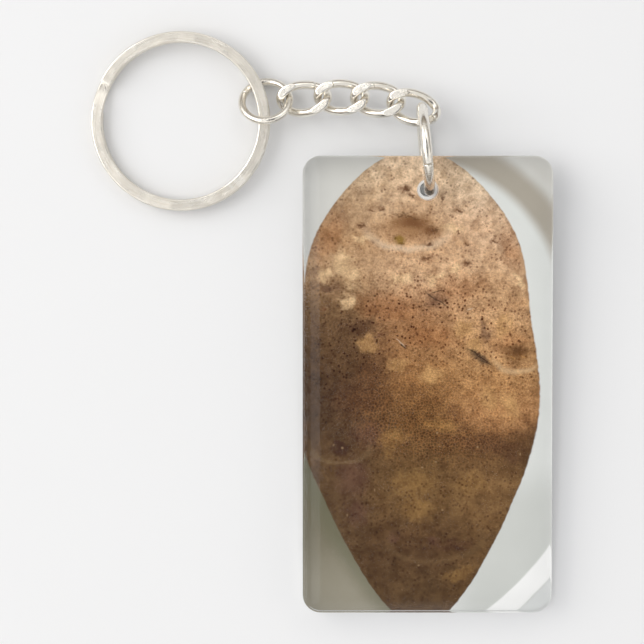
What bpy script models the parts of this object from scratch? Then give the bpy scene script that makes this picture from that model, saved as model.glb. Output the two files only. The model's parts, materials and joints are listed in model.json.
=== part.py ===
"""Acrylic photo keychain: split ring, jump ring, four curb chain links, connector ring and a printed tag.

The frame has +Z up, with the origin in the middle of the footprint on the surface the keychain lies on.
The tag hangs towards -Y, and the split ring is at -X, +Y. Lengths below are in millimetres.
"""

import math

import bpy
import bmesh
from mathutils import Matrix, Vector

MM = 0.001

# Split ring: a flat wire wound nearly twice, with the step where the upper coil comes down to the lower one.
SPLIT_CENTRE = Vector((-19.58, 27.95, 0.0))
SPLIT_OUTER_RADIUS = 12.5
BAND_WIDTH = 1.6
COIL_HEIGHT = 0.88
COIL_GAP = 0.08
BAND_CHAMFER = 0.18
STEP_STARTS = math.radians(174.0)
STEP_ENDS = math.radians(153.6)
COIL_STEPS = 45
SPLIT_TILT = math.radians(3.7)
SPLIT_RISES_TOWARDS = math.radians(27.9)

# Jump ring: a round wire ring threaded on the split ring, lying aslant across it.
JUMP_CENTRE = Vector((-7.80, 30.65, 2.374))
JUMP_RADIUS = 3.35
JUMP_WIRE = 1.10
JUMP_TILT = math.radians(33.0)
JUMP_RISES_TOWARDS = math.radians(-80.1)
JUMP_BUTT = math.radians(155.0)

# Curb chain: twisted oval links with their two broad sides cut flat.
LINK_LENGTH = 7.9
LINK_WIDTH = 5.15
LINK_WIRE = 1.28
LINK_SQUARENESS = 2.5
LINK_HALF_HEIGHT = 1.12
CHAIN_SLOPE = math.radians(7.0)
LINKS = (
    # centre, turn in the chain's plane, place of the butt joint round the link
    (Vector((-2.48, 30.95, 2.77)), math.radians(3.3), math.radians(70.0)),
    (Vector((2.69, 31.10, 3.44)), math.radians(-1.3), math.radians(108.0)),
    (Vector((7.72, 30.74, 4.10)), math.radians(-6.0), math.radians(100.0)),
    (Vector((12.61, 29.60, 4.80)), math.radians(-17.0), math.radians(-25.0)),
)

# Connector ring: a round wire ring standing on its edge, through the last link and the tag's hole.
CONNECTOR_CENTRE = Vector((14.24, 23.80, 6.5))
CONNECTOR_RADIUS = 5.75
CONNECTOR_WIRE = 1.50
CONNECTOR_HEADING = math.radians(-84.5)
CONNECTOR_BUTT = math.radians(68.0)

# Tag: a clear front plate, the printed picture and a plain back plate, all with one rounded outline.
TAG_WIDTH = 34.4
TAG_LENGTH = 63.1
TAG_CORNER = 2.5
TAG_EDGE_ROUNDING = 0.3
FRONT_PLATE = 3.3
PRINT = 0.12
BACK_PLATE = 1.1
LAYER_GAP = 0.14
TAG_CENTRE_X = 14.53
HOLE_DIAMETER = 2.9
HOLE_FROM_TOP = 4.65
PRINT_INSET = 0.25
PRINT_HOLE = 3.6
HOLE_FROM_CONNECTOR = 5.55
TAG_BELOW_CONNECTOR = 0.5

BUTT_GAP = 0.12
WIRE_SIDES = 12
RING_POINTS = 48
LINK_POINTS = 52
LINK_MEASURING_STEPS = 2000
CORNER_POINTS = 7
HOLE_SIDES = 32
WELD_DISTANCE = 0.002

X_AXIS = Vector((1.0, 0.0, 0.0))
Z_AXIS = Vector((0.0, 0.0, 1.0))


def clear_scene():
    for old in list(bpy.data.objects):
        bpy.data.objects.remove(old, do_unlink=True)


def material(name, colour, roughness, metallic, alpha=1.0):
    made = bpy.data.materials.new(name)
    made.use_nodes = True
    shader = made.node_tree.nodes["Principled BSDF"]
    shader.inputs["Base Color"].default_value = (*colour, 1.0)
    shader.inputs["Roughness"].default_value = roughness
    shader.inputs["Metallic"].default_value = metallic
    shader.inputs["Alpha"].default_value = alpha
    return made


def heading(angle):
    """A level unit vector, turned that far round from +X."""
    return Vector((math.cos(angle), math.sin(angle), 0.0))


def normal_of_plane(tilt, rises_towards):
    """The normal of a plane that rises towards the heading given."""
    return Z_AXIS * math.cos(tilt) - heading(rises_towards) * math.sin(tilt)


def placement(centre, x_hint, z_axis):
    """A matrix in metres, with its local Z along z_axis and its local X as near x_hint as that allows."""
    z_axis = z_axis.normalized()
    y_axis = z_axis.cross(x_hint).normalized()
    x_axis = y_axis.cross(z_axis)
    turn = Matrix((x_axis, y_axis, z_axis)).transposed().to_4x4()
    return Matrix.Translation(centre * MM) @ turn


def add_object(name, data, matrix, parent=None, finish=None):
    """Links an object into the scene. matrix is its world placement, whatever its parent is."""
    made = bpy.data.objects.new(name, data)
    bpy.context.scene.collection.objects.link(made)
    made.parent = parent
    if parent is not None:
        made.matrix_parent_inverse = parent.matrix_basis.inverted()
    made.matrix_basis = matrix
    if finish is not None:
        data.materials.append(finish)
    return made


def add_pivot(name, matrix, parent):
    return add_object(name, None, matrix, parent)


def smooth(mesh, sharp_above=40.0):
    mesh.shade_smooth()
    mesh.set_sharp_from_angle(angle=math.radians(sharp_above))


def sweep(name, points, wire=None, profile=None):
    """A capped solid along an open path: a round wire of that diameter, or a profile kept upright."""
    curve = bpy.data.curves.new(name, "CURVE")
    curve.dimensions = "3D"
    curve.use_fill_caps = True
    spline = curve.splines.new("POLY")
    spline.points.add(len(points) - 1)
    for slot, point in zip(spline.points, points):
        slot.co = (*(point * MM), 1.0)
    if profile is None:
        curve.twist_mode = "MINIMUM"
        curve.bevel_depth = wire / 2 * MM
        curve.bevel_resolution = (WIRE_SIDES - 4) // 2
    else:
        curve.twist_mode = "Z_UP"
        curve.bevel_mode = "OBJECT"
        curve.bevel_object = profile
    carrier = add_object(name + "_path", curve, Matrix.Identity(4))
    graph = bpy.context.evaluated_depsgraph_get()
    mesh = bpy.data.meshes.new_from_object(carrier.evaluated_get(graph))
    mesh.name = name
    bpy.data.objects.remove(carrier, do_unlink=True)
    weld(mesh)
    return mesh


def weld(mesh):
    """Joins the caps to the tube, and turns every face outwards."""
    shape = bmesh.new()
    shape.from_mesh(mesh)
    bmesh.ops.remove_doubles(shape, verts=shape.verts, dist=WELD_DISTANCE * MM)
    bmesh.ops.recalc_face_normals(shape, faces=shape.faces)
    shape.to_mesh(mesh)
    shape.free()
    smooth(mesh)


def ring_points(radius, butt):
    """A circle round local Z, open by the butt gap at the angle given."""
    half_gap = BUTT_GAP / 2 / radius
    first = butt + half_gap
    last = butt + 2 * math.pi - half_gap
    step = (last - first) / RING_POINTS
    return [heading(first + step * i) * radius for i in range(RING_POINTS + 1)]


def split_ring_height(angle):
    """Height of the band's middle over the ring's underside, where angle runs down clockwise."""
    low = COIL_HEIGHT / 2
    high = low + COIL_HEIGHT + COIL_GAP
    along = (STEP_STARTS - angle) / (STEP_STARTS - STEP_ENDS)
    along = min(max(along, 0.0), 1.0)
    return high + (low - high) * along * along * (3 - 2 * along)


def split_ring_points():
    radius = SPLIT_OUTER_RADIUS - BAND_WIDTH / 2
    first = STEP_ENDS + 2 * math.pi
    last = STEP_STARTS - 2 * math.pi
    step = (last - first) / (2 * COIL_STEPS)
    angles = [first + step * i for i in range(2 * COIL_STEPS + 1)]
    return [heading(a) * radius + Z_AXIS * split_ring_height(a) for a in angles]


def band_profile():
    """The flat wire's section: a rectangle with its four corners taken off."""
    across = BAND_WIDTH / 2
    up = COIL_HEIGHT / 2
    cut = BAND_CHAMFER
    corners = []
    for side_x, side_y in ((1, -1), (1, 1), (-1, 1), (-1, -1)):
        on_side = Vector((side_x * across, side_y * (up - cut), 0.0))
        on_flat = Vector((side_x * (across - cut), side_y * up, 0.0))
        corners += [on_side, on_flat] if side_x * side_y > 0 else [on_flat, on_side]
    curve = bpy.data.curves.new("band_profile", "CURVE")
    curve.dimensions = "2D"
    spline = curve.splines.new("POLY")
    spline.use_cyclic_u = True
    spline.points.add(len(corners) - 1)
    for slot, corner in zip(spline.points, corners):
        slot.co = (*(corner * MM), 1.0)
    profile = add_object("band_profile", curve, Matrix.Identity(4))
    profile.hide_render = True
    profile.display_type = "WIRE"
    return profile


def link_point(angle):
    """A point of a curb link's centre line: a squared oval, twisted a quarter turn from end to end."""
    half_length = (LINK_LENGTH - LINK_WIRE) / 2
    half_width = (LINK_WIDTH - LINK_WIRE) / 2
    power = 2 / LINK_SQUARENESS
    x = half_length * math.copysign(abs(math.cos(angle)) ** power, math.cos(angle))
    y = half_width * math.copysign(abs(math.sin(angle)) ** power, math.sin(angle))
    twist = -math.pi / 4 * x / half_length
    return Vector((x, y * math.cos(twist), y * math.sin(twist)))


def link_points(butt):
    """The centre line in equal steps, open by the butt gap at the angle given."""
    turn = 2 * math.pi / LINK_MEASURING_STEPS
    fine = [link_point(butt + turn * i) for i in range(LINK_MEASURING_STEPS + 1)]
    travelled = [0.0]
    for before, after in zip(fine, fine[1:]):
        travelled.append(travelled[-1] + (after - before).length)
    first = BUTT_GAP / 2
    step = (travelled[-1] - BUTT_GAP) / LINK_POINTS
    points = []
    nearest = 0
    for i in range(LINK_POINTS + 1):
        while travelled[nearest] < first + step * i:
            nearest += 1
        points.append(fine[nearest])
    return points


def flatten(mesh, half_height):
    """Cuts a link's two broad sides flat, as diamond cutting does."""
    shape = bmesh.new()
    shape.from_mesh(mesh)
    for side in (1, -1):
        everything = shape.verts[:] + shape.edges[:] + shape.faces[:]
        bmesh.ops.bisect_plane(
            shape,
            geom=everything,
            plane_co=(0, 0, side * half_height * MM),
            plane_no=(0, 0, side),
            clear_outer=True,
        )
        rims = [edge for edge in shape.edges if edge.is_boundary]
        bmesh.ops.holes_fill(shape, edges=rims)
    bmesh.ops.recalc_face_normals(shape, faces=shape.faces)
    shape.to_mesh(mesh)
    shape.free()
    smooth(mesh, 25.0)


def rounded_outline(width, length, corner):
    """The tag's outline, with the hole's centre at the local origin and the top edge towards +Y."""
    top = HOLE_FROM_TOP - (TAG_LENGTH - length) / 2
    middles = (
        (width / 2 - corner, top - corner, 0.0),
        (-width / 2 + corner, top - corner, 90.0),
        (-width / 2 + corner, top - length + corner, 180.0),
        (width / 2 - corner, top - length + corner, 270.0),
    )
    outline = []
    for x, y, start in middles:
        for i in range(CORNER_POINTS + 1):
            turn = heading(math.radians(start + 90.0 * i / CORNER_POINTS))
            outline.append(Vector((x, y, 0.0)) + turn * corner)
    return outline


def plate_mesh(name, outline, bottom, top):
    shape = bmesh.new()
    verts = [shape.verts.new((p + Z_AXIS * bottom) * MM) for p in outline]
    base = shape.faces.new(verts)
    raised = bmesh.ops.extrude_face_region(shape, geom=[base])
    lifted = [item for item in raised["geom"] if isinstance(item, bmesh.types.BMVert)]
    bmesh.ops.translate(shape, verts=lifted, vec=Z_AXIS * (top - bottom) * MM)
    bmesh.ops.recalc_face_normals(shape, faces=shape.faces)
    mesh = bpy.data.meshes.new(name)
    shape.to_mesh(mesh)
    shape.free()
    return mesh


def drill(name, diameter, matrix, parent):
    """A round cutter through the tag, along the hole's axis."""
    shape = bmesh.new()
    bmesh.ops.create_cone(
        shape,
        cap_ends=True,
        segments=HOLE_SIDES,
        radius1=diameter / 2 * MM,
        radius2=diameter / 2 * MM,
        depth=4 * (FRONT_PLATE + BACK_PLATE) * MM,
    )
    mesh = bpy.data.meshes.new(name)
    shape.to_mesh(mesh)
    shape.free()
    cutter = add_object(name, mesh, matrix, parent)
    cutter.hide_render = True
    cutter.display_type = "WIRE"
    return cutter


def round_edges(obj):
    bevel = obj.modifiers.new("rounded_edges", "BEVEL")
    bevel.width = TAG_EDGE_ROUNDING * MM
    bevel.segments = 2
    bevel.limit_method = "ANGLE"
    bevel.angle_limit = math.radians(60.0)


def cut(obj, cutter):
    boolean = obj.modifiers.new("hole", "BOOLEAN")
    boolean.operation = "DIFFERENCE"
    boolean.solver = "EXACT"
    boolean.object = cutter


def build_split_ring(steel):
    """The ring leans on the jump ring's wire, with its far side on the surface."""
    normal = normal_of_plane(SPLIT_TILT, SPLIT_RISES_TOWARDS)
    lift = (SPLIT_OUTER_RADIUS - BAND_CHAMFER) * math.sin(SPLIT_TILT)
    matrix = placement(SPLIT_CENTRE + Z_AXIS * lift, X_AXIS, normal)
    mesh = sweep("split_ring", split_ring_points(), profile=band_profile())
    return add_object("split_ring", mesh, matrix, finish=steel)


def build_jump_ring(steel, split_ring):
    normal = normal_of_plane(JUMP_TILT, JUMP_RISES_TOWARDS)
    pivot = add_pivot("jump_ring_pivot", split_ring.matrix_basis, split_ring)
    mesh = sweep("jump_ring", ring_points(JUMP_RADIUS, JUMP_BUTT), JUMP_WIRE)
    return add_object("jump_ring", mesh, placement(JUMP_CENTRE, X_AXIS, normal), pivot, steel)


def link_placement(centre, turn):
    """A link's placement: turned in the plane of the chain, which climbs towards +X."""
    normal = normal_of_plane(CHAIN_SLOPE, 0.0)
    along = placement(centre, X_AXIS, normal)
    return along @ Matrix.Rotation(turn, 4, "Z")


def build_chain(steel, jump_ring):
    """The links, each on a pivot where it bears on the piece before it."""
    before = jump_ring
    reach = (LINK_LENGTH - LINK_WIRE) / 2 * MM
    for number, (centre, turn, butt) in enumerate(LINKS, start=1):
        name = f"chain_link_{number}"
        matrix = link_placement(centre, turn)
        pivot_matrix = matrix.copy()
        if number == 1:
            pivot_matrix = jump_ring.matrix_basis.copy()
        else:
            near_end = matrix @ Vector((-reach, 0.0, 0.0))
            far_end = before.matrix_basis @ Vector((reach, 0.0, 0.0))
            pivot_matrix.translation = (near_end + far_end) / 2
        pivot = add_pivot(name + "_pivot", pivot_matrix, before)
        mesh = sweep(name, link_points(butt), LINK_WIRE)
        flatten(mesh, LINK_HALF_HEIGHT)
        before = add_object(name, mesh, matrix, pivot, steel)
    return before


def build_connector(steel, last_link):
    """The upright ring. Its local X runs down towards the tag, and its local Z is its own axis."""
    along = heading(CONNECTOR_HEADING)
    axis = along.cross(Z_AXIS)
    matrix = placement(CONNECTOR_CENTRE, along, axis)
    far_side = CONNECTOR_CENTRE - along * CONNECTOR_RADIUS
    pivot = add_pivot("connector_ring_pivot", placement(far_side, X_AXIS, Z_AXIS), last_link)
    points = ring_points(CONNECTOR_RADIUS, CONNECTOR_BUTT)
    mesh = sweep("connector_ring", points, CONNECTOR_WIRE)
    return add_object("connector_ring", mesh, matrix, pivot, steel)


def tag_placement():
    """The tag's placement at its hole: it slopes down from there until its lower end touches the surface."""
    along = heading(CONNECTOR_HEADING)
    thickness = FRONT_PLATE + PRINT + BACK_PLATE + 2 * LAYER_GAP
    hole = CONNECTOR_CENTRE + along * HOLE_FROM_CONNECTOR - Z_AXIS * TAG_BELOW_CONNECTOR
    hole.x = TAG_CENTRE_X
    drop = hole.z - thickness / 2
    slope = math.asin(drop / (TAG_LENGTH - HOLE_FROM_TOP))
    normal = normal_of_plane(slope, math.radians(90.0))
    return placement(hole, X_AXIS, normal), thickness


def build_tag(clear, picture, white, connector):
    matrix, thickness = tag_placement()
    pivot = add_pivot("tag_pivot", connector.matrix_basis, connector)
    drill_bit = drill("tag_hole_drill", HOLE_DIAMETER, matrix, pivot)
    print_bit = drill("print_hole_drill", PRINT_HOLE, matrix, pivot)
    full = rounded_outline(TAG_WIDTH, TAG_LENGTH, TAG_CORNER)
    inset = PRINT_INSET
    printed = rounded_outline(TAG_WIDTH - 2 * inset, TAG_LENGTH - 2 * inset, TAG_CORNER - inset)
    back_top = -thickness / 2 + BACK_PLATE
    print_bottom = back_top + LAYER_GAP
    front_bottom = print_bottom + PRINT + LAYER_GAP
    layers = (
        ("back_plate", full, -thickness / 2, back_top, white, drill_bit),
        ("picture_print", printed, print_bottom, print_bottom + PRINT, picture, print_bit),
        ("front_plate", full, front_bottom, thickness / 2, clear, drill_bit),
    )
    for name, outline, bottom, top, finish, bit in layers:
        plate = add_object(name, plate_mesh(name, outline, bottom, top), matrix, pivot, finish)
        if finish is not picture:
            round_edges(plate)
        cut(plate, bit)


def build():
    clear_scene()
    steel = material("plated_steel", (0.72, 0.68, 0.62), 0.28, 1.0)
    clear = material("clear_acrylic", (0.93, 0.95, 0.96), 0.05, 0.0, 0.3)
    picture = material("picture_ink", (0.35, 0.22, 0.13), 0.5, 0.0)
    white = material("white_acrylic", (0.85, 0.85, 0.84), 0.35, 0.0)
    split_ring = build_split_ring(steel)
    jump_ring = build_jump_ring(steel, split_ring)
    last_link = build_chain(steel, jump_ring)
    connector = build_connector(steel, last_link)
    build_tag(clear, picture, white, connector)


build()
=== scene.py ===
# %% [markdown]
# # An acrylic photo keychain
# The real thing is a clear acrylic tag with a printed picture inside, hung by a round ring and a short
# curb chain from a split ring. All its shapes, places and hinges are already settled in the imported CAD
# model. This lesson loads that model as a fixed frame, and builds a finely finished piece over each of
# its nodes: first the small helpers, then the metal, then the tag, then the light.

import json
import math

import bmesh
import bpy
import numpy as np
from mathutils import Matrix, Vector


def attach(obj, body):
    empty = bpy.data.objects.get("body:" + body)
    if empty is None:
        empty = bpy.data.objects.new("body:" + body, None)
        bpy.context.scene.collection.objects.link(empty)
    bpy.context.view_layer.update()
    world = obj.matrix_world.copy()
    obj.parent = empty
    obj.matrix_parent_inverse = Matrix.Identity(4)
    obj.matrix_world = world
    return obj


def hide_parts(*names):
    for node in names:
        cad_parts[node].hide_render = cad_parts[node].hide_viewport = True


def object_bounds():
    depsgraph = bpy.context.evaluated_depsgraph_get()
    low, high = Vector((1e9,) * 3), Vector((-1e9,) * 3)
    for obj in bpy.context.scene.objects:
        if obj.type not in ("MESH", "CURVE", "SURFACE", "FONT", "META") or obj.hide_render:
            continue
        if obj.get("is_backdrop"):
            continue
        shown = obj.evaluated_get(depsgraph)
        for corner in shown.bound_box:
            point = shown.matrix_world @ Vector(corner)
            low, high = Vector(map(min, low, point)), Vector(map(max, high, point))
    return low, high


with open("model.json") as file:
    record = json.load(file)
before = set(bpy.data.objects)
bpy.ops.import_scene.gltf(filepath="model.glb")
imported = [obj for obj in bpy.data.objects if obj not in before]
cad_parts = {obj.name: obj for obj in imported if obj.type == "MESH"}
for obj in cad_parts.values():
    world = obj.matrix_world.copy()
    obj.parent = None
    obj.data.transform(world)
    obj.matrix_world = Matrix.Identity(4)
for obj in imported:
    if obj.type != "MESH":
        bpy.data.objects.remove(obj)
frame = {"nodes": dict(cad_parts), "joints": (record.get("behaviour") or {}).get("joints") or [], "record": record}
cad_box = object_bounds()
print("CAD box in mm:", [[round(x * 1000, 2) for x in corner] for corner in cad_box])

# %% [markdown]
# ## Working in a piece's own frame
# A bent wire is easiest to describe flat on a bench: round its own centre, with its own axis up. So every
# piece is built in local millimetres, and one matrix carries it to where the CAD node lies. The hinges in
# the frame give most of these matrices, because each ring turns about its neighbour's centre and axis.

# %% Local frames and measuring
MM = 0.001
X_AXIS = Vector((1.0, 0.0, 0.0))
Z_AXIS = Vector((0.0, 0.0, 1.0))


def stand(origin, z_axis, x_hint):
    """A matrix at origin, with local Z along z_axis and local X as near x_hint as that allows."""
    z_axis = Vector(z_axis).normalized()
    y_axis = z_axis.cross(x_hint).normalized()
    turn = Matrix((y_axis.cross(z_axis), y_axis, z_axis)).transposed().to_4x4()
    return Matrix.Translation(origin) @ turn


def hinge(name):
    """A hinge's point and axis at rest."""
    found = next(j for j in frame["joints"] if j["name"] == name)
    return Vector(found["pos_m"]), Vector(found["axis"])


def local_corners(node, matrix):
    """Every corner of a CAD node, in millimetres, in the local frame that matrix carries."""
    points = np.array([v.co for v in frame["nodes"][node].data.vertices])
    back = np.array(matrix.inverted())
    return (points @ back[:3, :3].T + back[:3, 3]) / MM


def heading(angle):
    """A level unit vector, turned that far round from local X."""
    return Vector((math.cos(angle), math.sin(angle), 0.0))


split_point, split_axis = hinge("jump_ring_on_split_ring")
split_frame = stand(split_point, split_axis, X_AXIS)
measured = local_corners("split_ring", split_frame)
split_outer = float(np.hypot(measured[:, 0], measured[:, 1]).max())
split_height = float(measured[:, 2].max())
print(f"split ring: {2 * split_outer:.2f} mm across, {split_height:.2f} mm high")

# %% [markdown]
# ## Lofting a wire
# Wire goods could be made as Blender curves with a bevel, but a curve can't have a section that changes
# along its way, or ends that are softly rounded. A loft can: it is a row of section loops joined by quads,
# with a lid on each end. While it is made, the UV map is laid out in millimetres, along the wire and round
# it, so that drawing lines can later follow the metal.

# %% Loft, soft ends and placing
def centre_of(points):
    return sum(points, Vector()) / len(points)


def soften_ends(rows, depth):
    """Rounds both ends: a slightly smaller last section, and a full one just inside it."""
    for end, inner, place in ((0, 1, 1), (-1, -2, len(rows))):
        centre = centre_of(rows[end])
        inward = (centre_of(rows[inner]) - centre).normalized()
        full = [p + inward * depth for p in rows[end]]
        rows[end] = [p - (p - centre).normalized() * depth for p in rows[end]]
        rows.insert(place, full)
    return rows


def running_lengths(points):
    lengths = [0.0]
    for before, after in zip(points, points[1:]):
        lengths.append(lengths[-1] + (after - before).length)
    return lengths


def add_object(name, data):
    """Puts a mesh, light or camera in the scene under its own name."""
    made = bpy.data.objects.new(name, data)
    bpy.context.scene.collection.objects.link(made)
    return made


def finish_piece(shape, name, sharp_degrees, matrix):
    """Turns a bmesh into a smooth-shaded piece, carried to its place by matrix."""
    bmesh.ops.recalc_face_normals(shape, faces=shape.faces)
    mesh = bpy.data.meshes.new(name)
    shape.to_mesh(mesh)
    shape.free()
    mesh.shade_smooth()
    mesh.set_sharp_from_angle(angle=math.radians(sharp_degrees))
    mesh.transform(matrix)
    return add_object(name, mesh)


def loft(name, rows, matrix):
    """A closed tube through the rows, carried to its place by matrix, with its UV map in millimetres."""
    shape = bmesh.new()
    chart = shape.loops.layers.uv.new("along_and_round")
    grid = [[shape.verts.new(p * MM) for p in row] for row in rows]
    along = running_lengths([centre_of(row) for row in rows])
    middle = rows[len(rows) // 2]
    around = running_lengths([*middle, middle[0]])
    for i in range(len(rows) - 1):
        for k in range(len(middle)):
            n = (k + 1) % len(middle)
            face = shape.faces.new((grid[i][k], grid[i][n], grid[i + 1][n], grid[i + 1][k]))
            places = ((i, k), (i, k + 1), (i + 1, k + 1), (i + 1, k))
            for loop, (a, b) in zip(face.loops, places):
                loop[chart].uv = (along[a], around[b])
    shape.faces.new(grid[0])
    shape.faces.new(grid[-1])
    return finish_piece(shape, name, 50.0, matrix)


def fit(piece, body, node, finish):
    """Gives a piece its finish, ties it to its body, and lets it stand for its CAD node."""
    piece.data.materials.append(finish)
    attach(piece, body)
    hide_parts(node)
    print(f"{piece.name}: {len(piece.data.polygons)} faces, rides on {body}")


# %% [markdown]
# ## A short way to write shader nodes
# Shader trees in Python get long, because each node needs a line to make it and a line for each link. This
# small class keeps that work in one place. Each of its calls adds one node and returns the socket it puts
# out, so a finish reads almost like a formula.

# %% A sheet of nodes
def paint(red, green, blue):
    """A colour as on a paint chart, from 0 to 255, turned into the linear values that Blender uses."""
    parts = [x / 255 for x in (red, green, blue)]
    return tuple(x / 12.92 if x <= 0.04045 else ((x + 0.055) / 1.055) ** 2.4 for x in parts)


class Sheet:
    """One node tree, with a short call for each kind of node used below."""

    def __init__(self, tree):
        self.tree = tree

    def node(self, kind, **settings):
        made = self.tree.nodes.new(kind)
        for key, value in settings.items():
            setattr(made, key, value)
        return made

    def feed(self, socket, value):
        if isinstance(value, bpy.types.NodeSocket):
            self.tree.links.new(value, socket)
        elif socket.type == "RGBA":
            socket.default_value = (*value, 1.0)
        else:
            socket.default_value = value

    def math(self, operation, *values):
        made = self.node("ShaderNodeMath", operation=operation)
        for socket, value in zip(made.inputs, values):
            self.feed(socket, value)
        return made.outputs[0]

    def times(self, *values):
        return self.math("MULTIPLY", *values)

    def line(self, value, slope, lift):
        """The value times slope, plus lift."""
        return self.math("MULTIPLY_ADD", value, slope, lift)

    def rest(self, share):
        """What a share leaves of one."""
        return self.math("SUBTRACT", 1.0, share)

    def vector(self, operation, *values):
        made = self.node("ShaderNodeVectorMath", operation=operation)
        for socket, value in zip(made.inputs, values):
            self.feed(socket, value)
        return made.outputs["Value" if operation in ("LENGTH", "DOT_PRODUCT") else "Vector"]

    def scaled(self, place, sizes):
        return self.vector("MULTIPLY", place, sizes)

    def split(self, place):
        made = self.node("ShaderNodeSeparateXYZ")
        self.feed(made.inputs[0], place)
        return made.outputs

    def fade(self, value, low, high, to_low=0.0, to_high=1.0):
        """A soft step: to_low up to low, to_high from high on. low may be above high."""
        made = self.node("ShaderNodeMapRange", interpolation_type="SMOOTHSTEP")
        for socket, given in zip(made.inputs, (value, low, high, to_low, to_high)):
            self.feed(socket, given)
        return made.outputs[0]

    def blend(self, share, under, over, how="MIX"):
        made = self.node("ShaderNodeMix", data_type="RGBA", blend_type=how)
        self.feed(made.inputs["Factor"], share)
        self.feed(made.inputs[6], under)
        self.feed(made.inputs[7], over)
        return made.outputs[2]

    def noise(self, place, scale, detail=3.0, roughness=0.5, distortion=0.0, colour=False):
        made = self.node("ShaderNodeTexNoise")
        names = ("Vector", "Scale", "Detail", "Roughness", "Distortion")
        for name, value in zip(names, (place, scale, detail, roughness, distortion)):
            self.feed(made.inputs[name], value)
        return made.outputs["Color" if colour else "Fac"]

    def cells(self, place, scale, feature="F1"):
        made = self.node("ShaderNodeTexVoronoi", feature=feature)
        self.feed(made.inputs["Vector"], place)
        self.feed(made.inputs["Scale"], scale)
        return made.outputs["Distance"]

    def ramp(self, value, stops, interpolation="CARDINAL"):
        made = self.node("ShaderNodeValToRGB")
        strip = made.color_ramp
        strip.interpolation = interpolation
        strip.elements[0].position = stops[0][0]
        strip.elements[1].position = stops[-1][0]
        strip.elements[0].color = (*stops[0][1], 1.0)
        strip.elements[1].color = (*stops[-1][1], 1.0)
        for position, colour in stops[1:-1]:
            strip.elements.new(position).color = (*colour, 1.0)
        self.feed(made.inputs[0], value)
        return made.outputs[0]

    def effect(self, group, **values):
        """Places a shared effect with its own values, and returns what it puts out."""
        made = self.node("ShaderNodeGroup", node_tree=group)
        for key, value in values.items():
            self.feed(made.inputs[key.replace("_", " ")], value)
        return made.outputs

    def relief(self, shader, strength, depth, height):
        """Small bumps of a depth in millimetres, laid under the shader."""
        made = self.node("ShaderNodeBump")
        made.inputs["Strength"].default_value = strength
        made.inputs["Distance"].default_value = depth * MM
        self.feed(made.inputs["Height"], height)
        self.feed(shader["Normal"], made.outputs[0])

    def millimetres(self, home=None):
        """Where a point of the piece is, in millimetres, in the row frame or in a piece's own frame."""
        place = self.node("ShaderNodeTexCoord").outputs["Object"]
        if home is not None:
            back = self.node("ShaderNodeMapping", vector_type="TEXTURE")
            back.inputs["Location"].default_value = home.to_translation()
            back.inputs["Rotation"].default_value = home.to_euler()
            self.feed(back.inputs["Vector"], place)
            place = back.outputs[0]
        return self.scaled(place, (1 / MM, 1 / MM, 1 / MM))


def new_effect(title, inputs, outputs):
    """An empty node group, from its inputs' first values and its outputs' names: its sheet, its input
    sockets and its output sockets."""
    tree = bpy.data.node_groups.new(title, "ShaderNodeTree")
    for name, value in inputs.items():
        kind = "NodeSocketVector" if isinstance(value, tuple) else "NodeSocketFloat"
        tree.interface.new_socket(name, in_out="INPUT", socket_type=kind).default_value = value
    for name in outputs:
        tree.interface.new_socket(name, in_out="OUTPUT", socket_type="NodeSocketFloat")
    inside = Sheet(tree)
    start = inside.node("NodeGroupInput")
    end = inside.node("NodeGroupOutput")
    return inside, start.outputs, end.inputs


def new_finish(title):
    """A material with one plain shader: the material, its sheet, and the shader's sockets."""
    made = bpy.data.materials.new(title)
    made.use_nodes = True
    return made, Sheet(made.node_tree), made.node_tree.nodes["Principled BSDF"].inputs


def done(inside):
    """The finished group of a sheet."""
    print("effect ready:", inside.tree.name)
    return inside.tree


print("node helpers ready")

# %% [markdown]
# ## Effects that several finishes share
# Drawn wire shows fine lines along its length, and everything that lives on a bunch of keys gets hair
# scratches, grease from fingers and worn spots. Each of these is a node group, built once, with its sizes
# and strengths as inputs. The metal, the acrylic and the white back all place them with their own values.

# %% Drawing lines along the wire
sheet, given, out = new_effect("Drawing lines", {"Spacing": 0.2, "Stretch": 30.0}, ["Lines"])
chart = sheet.node("ShaderNodeUVMap", uv_map="along_and_round").outputs[0]
across = sheet.math("DIVIDE", 1.0, given["Spacing"])
lengthwise = sheet.math("DIVIDE", across, given["Stretch"])
squeeze = sheet.node("ShaderNodeCombineXYZ")
sheet.feed(squeeze.inputs["X"], lengthwise)
sheet.feed(squeeze.inputs["Y"], across)
coarse = sheet.noise(sheet.vector("MULTIPLY", chart, squeeze.outputs[0]), 1.0, 4.0, 0.65)
sheet.feed(out["Lines"], sheet.fade(coarse, 0.3, 0.7))
drawing_lines = done(sheet)

# %% Hair scratches at several angles
sockets = {"Place": (0, 0, 0), "Scale": 1.0, "Amount": 0.1}
sheet, given, out = new_effect("Hair scratches", sockets, ["Scratches"])
scratches = 0.0
for angle, offset in ((0.4, 3.0), (1.3, 11.0), (2.2, 23.0), (2.9, 37.0)):
    moved = sheet.vector("ADD", given["Place"], (offset, offset, 0.0))
    turned = sheet.node("ShaderNodeVectorRotate", rotation_type="Z_AXIS")
    sheet.feed(turned.inputs["Vector"], moved)
    sheet.feed(turned.inputs["Angle"], angle)
    thin = sheet.scaled(turned.outputs[0], (0.35, 9.0, 0.35))
    streak = sheet.noise(thin, given["Scale"], 1.0, 0.5, 0.15)
    ridge = sheet.math("ABSOLUTE", sheet.math("SUBTRACT", streak, 0.5))
    reach = sheet.times(given["Amount"], 0.06)
    patchy = sheet.noise(turned.outputs[0], 0.45, 1.0)
    hair = sheet.times(sheet.fade(ridge, reach, 0.0), sheet.fade(patchy, 0.5, 0.62))
    scratches = sheet.math("MAXIMUM", scratches, hair)
sheet.feed(out["Scratches"], scratches)
hair_scratches = done(sheet)

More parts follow.
